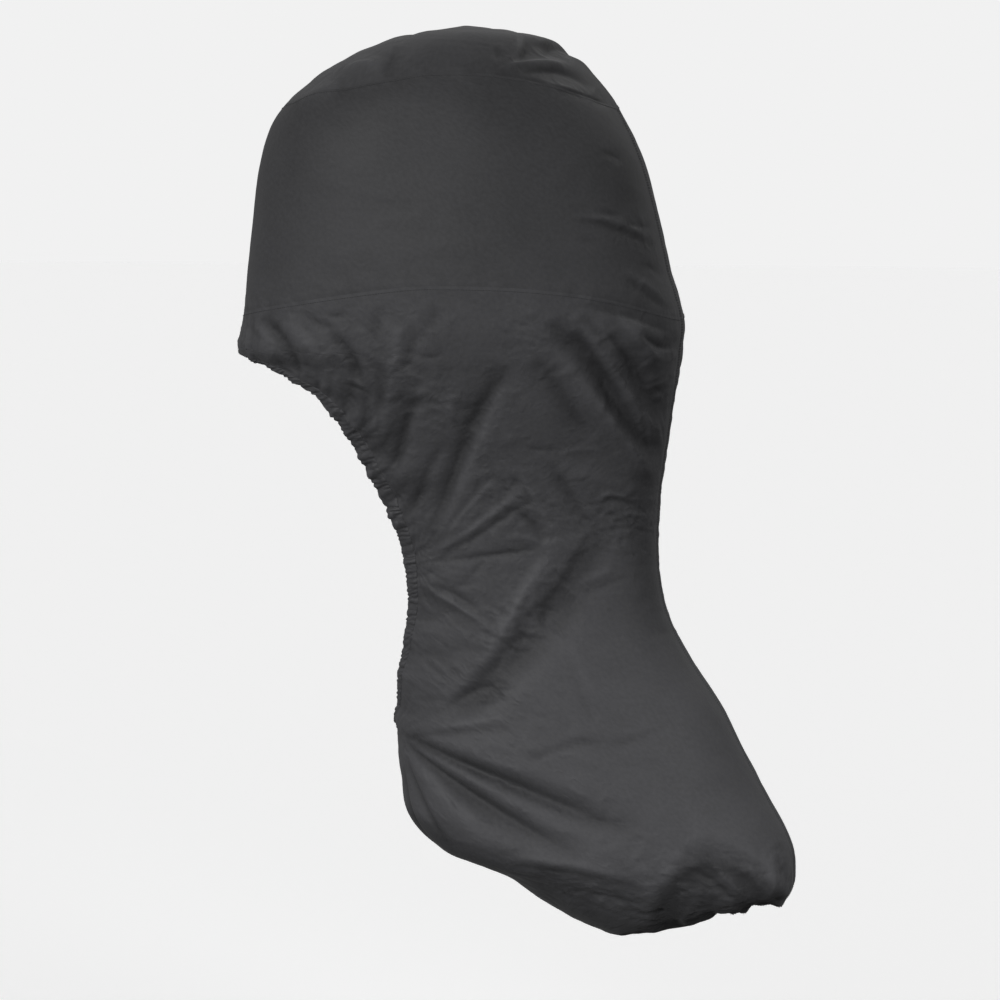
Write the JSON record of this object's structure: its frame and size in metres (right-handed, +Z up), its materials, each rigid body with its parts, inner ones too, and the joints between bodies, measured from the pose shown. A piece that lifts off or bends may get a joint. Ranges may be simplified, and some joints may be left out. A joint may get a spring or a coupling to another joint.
{
  "type": "outboard motor cover",
  "caption": "Full-length fitted cloth cover for an outboard motor: domed hood, gathered front opening and a bag for the lower unit.",
  "frame": {"origin": "underside of the crown at its top, on the centre plane, where the cover rests on what it fits", "axes": "+Z up, +X to the back of the cover, away from the opening, -Y to its port side"},
  "size_m": [1.0453, 0.5514, 1.6751],
  "materials": {
    "hood_cloth": "charcoal coated polyester, fine plain weave, satin",
    "body_cloth": "charcoal coated polyester, fine plain weave, satin"
  },
  "bodies": {
    "root": {"crown_panel": "hood_cloth", "hood_port": "hood_cloth", "hood_starboard": "hood_cloth", "body_port": "body_cloth", "body_starboard": "body_cloth"}
  },
  "joints": []
}
